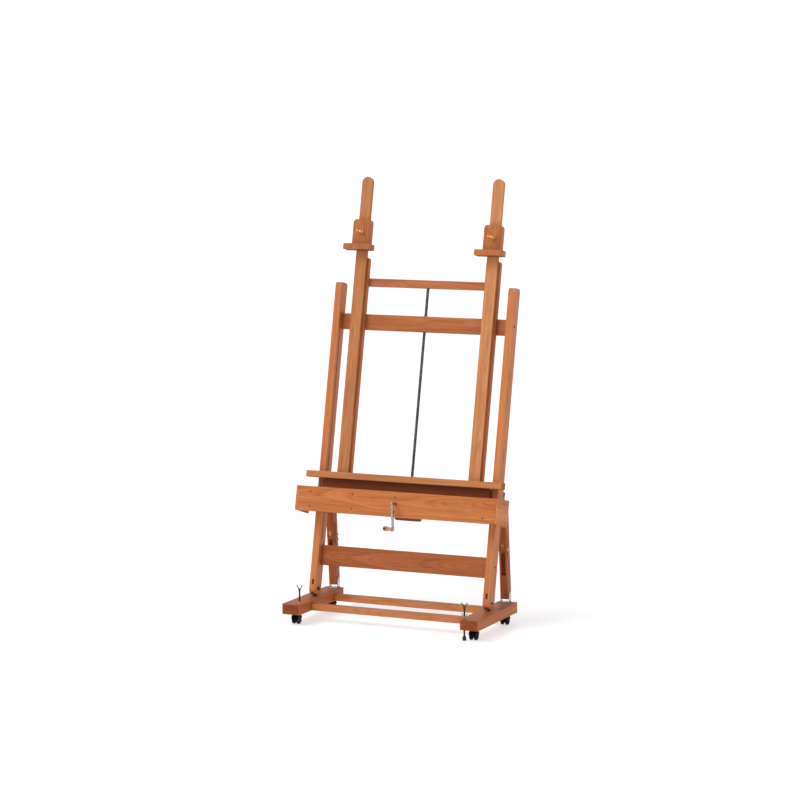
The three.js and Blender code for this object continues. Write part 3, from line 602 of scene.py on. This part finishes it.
def castor(name, x, y):
    wheel_y = math.copysign(CASTOR_TRAIL, y)
    at = BASE @ placed(x, y, 0)
    hub = placed(0, wheel_y, WHEEL_RADIUS)
    bm = bmesh.new()
    for side in (-1, 1):
        out = hub @ turned(90 * side, "Y")
        add_lathe(bm, WHEEL_HALF, 64, out)
        for rib in range(6):
            spoke = rounded_box((6.0, 12.4), (-0.9, 0.9), 0.5, 3)
            add_prism(bm, spoke, 11.8, 13.3, out @ turned(60 * rib, "Z"), edge=0.3)
    add_lathe(bm, [(0, -5.4), (2.6, -5.4), (2.6, 5.4), (0, 5.4)], 20, hub @ turned(90, "Y"))
    wheels = make(f"twin_wheels_{name}", bm, at, CASTOR, f"wheels_{name}", sharp=30)
    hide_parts(f"castor_wheels_{name}")

    # the hood: a shell over both wheels, a web between them and a neck that carries the stem
    bm = bmesh.new()
    rows = []
    for i in range(33):
        a = math.pi * (0.07 + 0.86 * i / 32)
        rows.append([vertex(bm, hub, u, r * math.cos(a), r * math.sin(a)) for u, r in HOOD_SECTION])
    ring_faces(bm, rows)
    bm.faces.new(rows[0])
    bm.faces.new(rows[-1][::-1])
    web = arc(19.3, [-16 + 212 * i / 40 for i in range(41)])
    add_prism(bm, web, -3.8, 3.8, hub @ TO_YZ, edge=0.8)
    add_prism(bm, rounded_box((-3.8, 3.8), (-7, 7), 3.5), 22, 39, edge=0.8)
    add_lathe(bm, [(0, 29), (6.4, 29), (8.4, 32.5), (9.0, 37), (9.0, 40.6), (0, 40.6)], 40)
    hood = make(f"castor_shell_{name}", bm, at, CASTOR, f"castor_{name}", sharp=40)
    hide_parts(f"castor_hood_{name}")
    bm = bmesh.new()
    stem = [(0, 40.6), (7.2, 40.6), (7.6, 41.0), (7.6, 43.2), (7.2, 43.6), (4, 43.7), (4, 61), (3.2, 62), (0, 62)]
    add_lathe(bm, stem, 40)
    make(f"castor_stem_{name}", bm, at, DARK_ZINC, f"castor_{name}")


for side_name, side in SIDES:
    castor(f"front_{side_name}", side * CASTOR_X, CASTOR_Y[0])
    castor(f"rear_{side_name}", side * CASTOR_X, CASTOR_Y[1])

# ------------------------------------------------------------------ levelling screws
FOOT_TOP = 82.3
LEVEL_X, LEVEL_Y = 336, -163
RAISE = {"left": 14.0, "right": 1.0}  # how far each pad stands off the floor
PAD = [
    (0, 0), (5.0, 0), (6.6, 0.7), (7.4, 2.4), (7.5, 5.0), (7.5, 8.2), (7.2, 8.6),
    (7.2, 9.2), (7.4, 9.6), (7.0, 12.0), (6.0, 14.2), (5.2, 15.2), (5.0, 16.0), (0, 16.0),
]
for side_name, side in SIDES:
    at = BASE @ placed(side * LEVEL_X, LEVEL_Y, RAISE[side_name])
    bm = bmesh.new()
    add_lathe(bm, PAD, 48)
    foot_pad = make(f"rubber_foot_{side_name}", bm, at, RUBBER, f"level_pad_{side_name}", sharp=40)
    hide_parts(f"levelling_pad_{side_name}")
    bm = bmesh.new()
    add_thread(bm, 3.5, 2.95, 9, 119, 1.25)
    add_lathe(bm, [(0, 16.2), (3.9, 16.2), (4.1, 16.6), (4.1, 18.2), (3.9, 18.6), (0, 18.6)], 36)
    add_lathe(bm, [(0, 116.5), (3.6, 116.5), (4.2, 117.6), (4.2, 121), (3.6, 124), (2.4, 126), (0, 126.4)], 32)
    add_fork(bm, 119.5, 12.2, 21.0, 2.6)
    body = f"level_screw_{side_name}"
    screw = make(f"levelling_thumbscrew_{side_name}", bm, at, BLACKENED, body, sharp=32)
    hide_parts(f"levelling_screw_{side_name}")
    bm = bmesh.new()
    top = FOOT_TOP - RAISE[side_name]
    add_lathe(bm, [(3.8, top), (8.0, top), (8.0, top + 1.4), (7.7, top + 1.6), (3.8, top + 1.6)], 40)
    cone = [(3.8, 1.6), (6.6, 1.6), (6.4, 3.4), (5.4, 7.6), (4.9, 9.0), (3.8, 9.2)]
    add_lathe(bm, [(radius, top + height) for radius, height in cone], 40)
    add_fork(bm, top + 3.0, 12.0, 16.2, 3.0)
    lock = make(f"locking_wing_nut_{side_name}", bm, at, BRONZED, f"lock_nut_{side_name}", sharp=32)
    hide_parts(f"lock_wing_nut_{side_name}")

# ------------------------------------------------------------------ hinge and strut hardware
HINGE_N, HINGE_S = 25.75, 33.9
OUT = {-1: turned(-90, "Y"), 1: turned(90, "Y")}  # takes a piece's Z axis out along -X or +X
FRONTWARD = turned(90, "X")  # takes it to the front of the easel
BACKWARD = turned(-90, "X")
POST_BACK = 51.8
PIN_UP = STRUT_FOOT[1]
STRUT_CLAMP_UP, TONGUE_PLATE_UP = 175, 188  # along the strut
RAIL_BOLTS = ((23, 1068, 4.6), (34, 167, 3.6))  # depth, height and radius in the leaning frame
TOP_BAR_X, TOP_BAR_BACK, TOP_BAR_UP = 256, 51, 1217.7
DOME = [(1.0, 0.25), (0.9, 0.62), (0.62, 0.9), (0.3, 1.0)]


def add_dome(bm, radius, height, at, low=0.0, sides=36):
    crown = [(radius * u, low + height * v) for u, v in DOME]
    add_lathe(bm, [(0, low), (radius, low)] + crown + [(0, low + height)], sides, at)


def hexagon(across_flats):
    return arc(across_flats / math.sqrt(3), range(0, 360, 60))


for side_name, side in SIDES:
    bm = bmesh.new()
    at = LEANING @ placed(side * POST_MIDDLE, HINGE_N, HINGE_S)
    out, inward = OUT[side], OUT[-side]
    add_lathe(bm, [(0, -17), (4, -17), (4, 17), (0, 17)], 32, out)
    add_lathe(bm, [(0, 13.55), (5.8, 13.55), (5.8, 14.2), (0, 14.2)], 40, out)
    add_dome(bm, 4.7, 2.4, out, 14.2)
    add_lathe(bm, [(0, 13.55), (7.6, 13.55), (7.6, 14.3), (0, 14.3)], 40, inward)
    add_prism(bm, hexagon(11.4), 14.3, 18.4, inward, edge=0.5)
    add_lathe(bm, [(0, 17), (3.9, 17), (3.9, 19), (3.3, 19.4), (0, 19.4)], 28, inward)
    bolt = make(f"tilt_hinge_bolt_{side_name}", bm, at, BLACKENED, "h_frame")
    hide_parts(f"hinge_bolt_{side_name}")

    hinge_y = LEAN_Y + HINGE_N * math.cos(LEAN) + HINGE_S * math.sin(LEAN)
    bm = bmesh.new()
    for offset in (-16.5, 16.5):
        add_screw_head(bm, 3.2, 1.3, placed(0, offset, 82.0), 20 + offset)
    at = BASE @ placed(side * POST_MIDDLE, hinge_y, 0)
    make(f"hinge_plate_screws_{side_name}", bm, at, DARK_ZINC, "base")

    # the stirrup under the strut
    bm = bmesh.new()
    at = BASE @ placed(side * POST_MIDDLE, STRUT_FOOT[0], 0)
    ear = [(-10, FOOT_TOP), (10, FOOT_TOP), (10, 108)] + arc(10, range(0, 181, 9), (0, PIN_UP)) + [(-10, 108)]
    for sign in (-1, 1):
        low, high = sorted((sign * 16.0, sign * 18.0))
        add_prism(bm, ear, low, high, TO_YZ, edge=0.4)
        add_dome(bm, 5.0, 2.6, placed(0, 0, PIN_UP) @ OUT[sign], 17.9)
    add_prism(bm, rounded_box((-18, 18), (-15, 15), 3), FOOT_TOP, FOOT_TOP + 2, edge=0.4)
    add_lathe(bm, [(0, -18), (3, -18), (3, 18), (0, 18)], 28, placed(0, 0, PIN_UP) @ turned(90, "Y"))
    for offset in (-11.5, 11.5):
        add_screw_head(bm, 3.2, 1.6, placed(0, offset, FOOT_TOP + 2), 35 + offset)
    stirrup = make(f"strut_stirrup_{side_name}", bm, at, ZINC, "base")
    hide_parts(f"strut_bracket_{side_name}")

    # the plate on the back of the post that carries the tongue
    bm = bmesh.new()
    at = LEANING @ placed(side * POST_MIDDLE, POST_BACK, STRUT_TOP[1])
    depth = STRUT_TOP[0] - POST_BACK
    add_prism(bm, rounded_box((-12, 12), (-40, 26), 4), 0, 2, BACKWARD, edge=0.4)
    lug = [(0, -9), (depth, -9)] + arc(9, range(-81, 90, 9), (depth, 0)) + [(depth, 9), (0, 9)]
    for sign in (-1, 1):
        low, high = sorted((sign * 8.4, sign * 10.4))
        add_prism(bm, lug, low, high, TO_YZ, edge=0.4)
        add_dome(bm, 4.6, 2.0, placed(0, depth, 0) @ OUT[sign], 10.3)
    add_lathe(bm, [(0, -11), (3, -11), (3, 11), (0, 11)], 28, placed(0, depth, 0) @ turned(90, "Y"))
    for height, turn in ((-18, 15), (18, 50), (33, 80)):
        add_screw_head(bm, 3.9, 2.0, placed(0, 2, height) @ BACKWARD, turn)
    plate = make(f"strut_hinge_plate_{side_name}", bm, at, BLACKENED, "h_frame")
    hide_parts(f"strut_hinge_{side_name}")

    # clamping bolt through the strut, with its wing nut on the inner side
    bm = bmesh.new()
    at = strut_frame(side) @ placed(0, TONGUE_MIDDLE, STRUT_CLAMP_UP)
    add_lathe(bm, [(0, -16), (3, -16), (3, 24.5), (2.4, 25), (0, 25)], 28, inward)
    add_dome(bm, 7.5, 3.3, out, 15.8)
    add_lathe(bm, [(0, 15.8), (8.4, 15.8), (8.4, 17.0), (8.0, 17.3), (0, 17.3)], 40, inward)
    add_lathe(bm, [(0, 17.3), (6.2, 17.3), (5.8, 20), (4.8, 23.4), (4.2, 24.2), (0, 24.3)], 36, inward)
    add_ears(bm, 18.2, 12.0, 12.5, 3.0, inward)
    wing = make(f"strut_clamp_bolt_{side_name}", bm, at, BRONZED, f"strut_wing_{side_name}", sharp=32)
    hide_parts(f"strut_wing_bolt_{side_name}")

    # brass wear plate on the front of the tongue's lower end
    bm = bmesh.new()
    add_prism(bm, rounded_box((-6.2, 6.2), (-7.5, 7.5), 1.5), 0, 1.1, edge=0.3)
    add_screw_head(bm, 2.6, 1.1, placed(0, 0, 1.1), 25)
    at = strut_frame(side) @ placed(0, -16.5, TONGUE_PLATE_UP) @ FRONTWARD
    make(f"tongue_plate_{side_name}", bm, at, BRONZED, f"strut_upper_{side_name}")

    # bolts that hold the rails, let into the posts' outer faces
    bm = bmesh.new()
    face = LEANING @ placed(side * (POST_MIDDLE + 13.25), 0, 0)
    for depth, height, radius in RAIL_BOLTS:
        spot = placed(0, depth, height) @ out
        head = [(0, 0.02), (1, 0.02), (1, 0.9), (0.9, 1.5), (0.52, 1.7), (0.5, 0.6), (0, 0.5)]
        add_lathe(bm, [(radius * share, rise) for share, rise in head], 36, spot)
    make(f"rail_bolts_{side_name}", bm, face, BLACKENED, "h_frame")

    # screws that hold the top bar to the back of the uprights
    bm = bmesh.new()
    for aside, turn in ((-9, 10), (9, 65)):
        add_screw_head(bm, 3.9, 1.8, placed(aside, 0, 0) @ BACKWARD, turn)
    at = LEANING @ placed(side * TOP_BAR_X, TOP_BAR_BACK, TOP_BAR_UP)
    make(f"top_bar_screws_{side_name}", bm, at, ZINC, "carriage")

# ------------------------------------------------------------------ clamps and masts
CLAMP_SCREW_UP, MAST_KNOB_UP = 1405, 1262
DROP = {"left": 0.0, "right": 9.0}  # how much lower than the left one each clamp is set
CLAMP_HUB = [(0, 1.8), (6.6, 1.8), (6.8, 2.8), (6.4, 6.4), (5.4, 10.2), (4.4, 12.6), (3.0, 13.4), (0, 13.5)]
KNOB_PROFILE = [
    (0, 5.2), (10, 5.2), (13.4, 5.4), (14.4, 6.2), (14.8, 7.6), (14.8, 14.6),
    (14.3, 16.4), (12.8, 17.7), (10.5, 18.3), (6.4, 18.3), (5.8, 17.6), (0, 17.4),
]


def lobes(angle, radius):
    """Five shallow finger lobes round the knob's rim."""
    return 1 + 0.085 * math.cos(5 * angle) if radius > 9.5 else 1.0


for side_name, side in SIDES:
    bm = bmesh.new()
    at = LEANING @ placed(side * MAST_X, -24, CLAMP_SCREW_UP - DROP[side_name]) @ FRONTWARD @ turned(-16, "Z")
    add_lathe(bm, [(0, -18.5), (3, -18.5), (3, 2), (0, 2)], 28)
    add_lathe(bm, [(0, 0.3), (8.4, 0.3), (8.4, 1.0), (7.6, 1.9), (0, 1.9)], 44)
    add_lathe(bm, CLAMP_HUB, 40)
    add_ears(bm, 3.6, 13.8, 15.5, 8.4)
    screw = make(f"clamp_thumbscrew_{side_name}", bm, at, BRASS, f"clamp_screw_{side_name}", sharp=32)
    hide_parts(f"clamp_wing_screw_{side_name}")

    bm = bmesh.new()
    at = LEANING @ placed(side * MAST_X, 28.5, MAST_KNOB_UP) @ BACKWARD
    add_lathe(bm, [(0, -27.6), (5.6, -27.6), (6, -27.2), (6, -25.0), (5.6, -24.7), (0, -24.7)], 36)
    add_lathe(bm, [(0, -26), (3, -26), (3, 8), (0, 8)], 28)
    add_lathe(bm, KNOB_PROFILE, 80, wave=lobes)
    add_lathe(bm, [(0, 1.8), (7, 1.8), (7.6, 3.0), (8.6, 5.3), (0, 5.3)], 40)
    knob = make(f"mast_lock_{side_name}", bm, at, KNOB, f"mast_lock_{side_name}", sharp=34)
    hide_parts(f"mast_lock_knob_{side_name}")
    bm = bmesh.new()
    add_lathe(bm, [(0, 0.3), (9, 0.3), (9, 1.5), (8.7, 1.8), (0, 1.8)], 44)
    add_lathe(bm, [(0, 17.4), (4.6, 17.4), (4.6, 18.2), (3.6, 18.6), (0, 18.6)], 32)
    make(f"mast_lock_washer_{side_name}", bm, at, ZINC, f"mast_lock_{side_name}")

# ------------------------------------------------------------------ crank, rod and gears
SWING = turned(-8, "Y")
CRANK_UP, CRANK_THROW = 372, 98
GRIP_START, GRIP_END = 131, 207  # how far in front of the shaft's middle the grip and its pin reach
CRANK_AT = LEANING @ placed(0, 0, CRANK_UP) @ SWING
bm = bmesh.new()
add_lathe(bm, [(0, -25.5), (4, -25.5), (4, 131), (0, 131)], 36, FRONTWARD)
add_lathe(bm, [(0, -25.5), (8.5, -25.5), (8.5, -4.6), (8.0, -4.1), (0, -4.1)], 44, FRONTWARD)
add_bevel_gear(bm, placed(0, 25.1, 0) @ BACKWARD @ turned(18, "Z"))
arm = [(-4.7, 0)] + arc(4.8, range(165, 14, -15)) + [(4.7, 0), (4.3, -20), (4.3, -84)]
arm += arc(4.8, range(20, -201, -20), (0, -CRANK_THROW)) + [(-4.3, -84), (-4.3, -20)]
add_prism(bm, arm, 124.8, 130.9, FRONTWARD, edge=2.2, segments=4)
add_dome(bm, 4.2, 2.0, FRONTWARD, 130.8, 28)
add_lathe(bm, [(0, 124), (4.6, 124), (4.6, 134.4), (0, 134.4)], 32, placed(0, 0, -CRANK_THROW) @ FRONTWARD)
add_lathe(bm, [(0, 134), (2.6, 134), (2.6, GRIP_END), (0, GRIP_END)], 24, placed(0, 0, -CRANK_THROW) @ FRONTWARD)
crank = make("crank_handle", bm, CRANK_AT, CRANK_STEEL, "crank", sharp=35)
bm = bmesh.new()
add_screw_head(bm, 4.8, 2.6, placed(0, -GRIP_END, -CRANK_THROW) @ FRONTWARD, 30)
make("crank_grip_screw", bm, CRANK_AT, BLACKENED, "crank")
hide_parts("crank")

bm = bmesh.new()
GRIP = [
    (3.1, 4.6), (6.0, 4.4), (7.5, 5.4), (8.0, 7.6), (7.7, 11), (6.7, 17), (6.2, 26), (6.5, 36),
    (7.6, 47), (9.2, 56), (10.0, 63), (9.9, 68), (8.9, 72), (7.0, 74.4), (3.1, 74.8),
]
add_lathe(bm, GRIP, 56)
at = CRANK_AT @ placed(0, -GRIP_START, -CRANK_THROW) @ FRONTWARD
grip = make("turned_crank_grip", bm, at, SPINDLE, "crank_grip", sharp=45)
soften(grip, 0.01, 1, 80, weld=False)
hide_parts("crank_grip")

bm = bmesh.new()
add_thread(bm, 6.0, 4.6, 346, 1217, 6.0, starts=2)
add_lathe(bm, [(0, 320), (5.4, 320), (6, 320.6), (6, 346.5), (0, 346.5)], 40)
add_lathe(bm, [(0, 338.5), (8.6, 338.5), (9, 339), (9, 355.6), (0, 355.6)], 44)
add_lathe(bm, [(0, 1216.5), (5.2, 1216.5), (5.0, 1218.6), (0, 1218.9)], 32)
add_bevel_gear(bm, placed(0, 0, 357.8))
rod = make("lifting_screw", bm, LEANING @ placed(0, ROD_DEPTH, 0), THREAD, "rod", sharp=30)
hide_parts("threaded_rod")

bm = bmesh.new()
NUT = [
    (6.3, 1082.3), (8.1, 1082.3), (8.1, 1095.0), (10.2, 1095.0), (10.4, 1095.3),
    (10.4, 1095.8), (10.0, 1096.2), (6.9, 1096.2), (6.3, 1095.8),
]
add_lathe(bm, NUT, 56)
nut = make("lifting_nut", bm, LEANING @ placed(0, ROD_DEPTH, 0), BRONZED, "h_frame")
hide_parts("rod_nut")

# plugs over the screws in the tray's front
PLUG_X, PLUG_UP, PANEL_FRONT = (-355, -179, -2.5, 355), (342, 397), -95
bm = bmesh.new()
for x in PLUG_X:
    for height in PLUG_UP:
        spot = placed(x, PANEL_FRONT, height) @ FRONTWARD
        add_lathe(bm, [(0, -0.3), (3.9, -0.3), (3.9, 0.25), (3.6, 0.45), (0, 0.55)], 32, spot)
make("tray_plugs", bm, LEANING, PLUG_WOOD, "carriage")

# ------------------------------------------------------------------ stage, light and camera
bpy.ops.mesh.primitive_circle_add(vertices=96, radius=60.0, fill_type="NGON", location=(0, 0, 0))
floor = bpy.context.object
floor.name = "floor"
floor_tree = Tree("pale_floor")
floor_noise = floor_tree.noise(floor_tree.where.outputs["Object"], 0.6, 2.0, 0.5)
floor.data.materials.append(
    floor_tree.finish(
        floor_tree.ramp(floor_noise, (0.0, (0.54, 0.54, 0.54)), (1.0, (0.57, 0.57, 0.57))),
        floor_tree.math("MULTIPLY_ADD", floor_noise, 0.05, 0.85),
        Emission_Color=(1, 1, 1, 1),
        Emission_Strength=0.57,
    )
)

SWEEP, OVERHEAD = 1.08, 0.5  # the world's strength near the horizon and above
scene = bpy.context.scene
scene.view_settings.view_transform = "Standard"
# the studio: a white sweep all round near the horizon, dimmer overhead
world = bpy.data.worlds.new("studio")
scene.world = world
world.use_nodes = True
sky = world.node_tree
direction = sky.nodes.new("ShaderNodeTexCoord")
split = sky.nodes.new("ShaderNodeSeparateXYZ")
fade = sky.nodes.new("ShaderNodeMapRange")
fade.interpolation_type = "SMOOTHSTEP"
for name, value in (("From Min", 0.12), ("From Max", 0.5), ("To Min", SWEEP), ("To Max", OVERHEAD)):
    fade.inputs[name].default_value = value
sky.links.new(direction.outputs["Generated"], split.inputs[0])
sky.links.new(split.outputs[2], fade.inputs[0])
sky.links.new(fade.outputs[0], sky.nodes["Background"].inputs[1])
sky.nodes["Background"].inputs[0].default_value = (1, 1, 1, 1)

SUN_FROM = Vector((-0.45, -0.75, 0.95))
sun_data = bpy.data.lights.new("key", "SUN")
sun_data.energy = 1.6
sun_data.angle = math.radians(32)
sun = bpy.data.objects.new("key", sun_data)
scene.collection.objects.link(sun)
sun.rotation_euler = SUN_FROM.to_track_quat("Z", "Y").to_euler()

camera_data = bpy.data.cameras.new("camera")
camera_data.sensor_width = 36
camera_data.lens = 122.46
camera = bpy.data.objects.new("camera", camera_data)
scene.collection.objects.link(camera)
camera.location = (4.1265, -9.2630, 2.0785)
camera.rotation_euler = Euler((math.radians(83.07), 0, math.radians(24.15)))
scene.camera = camera
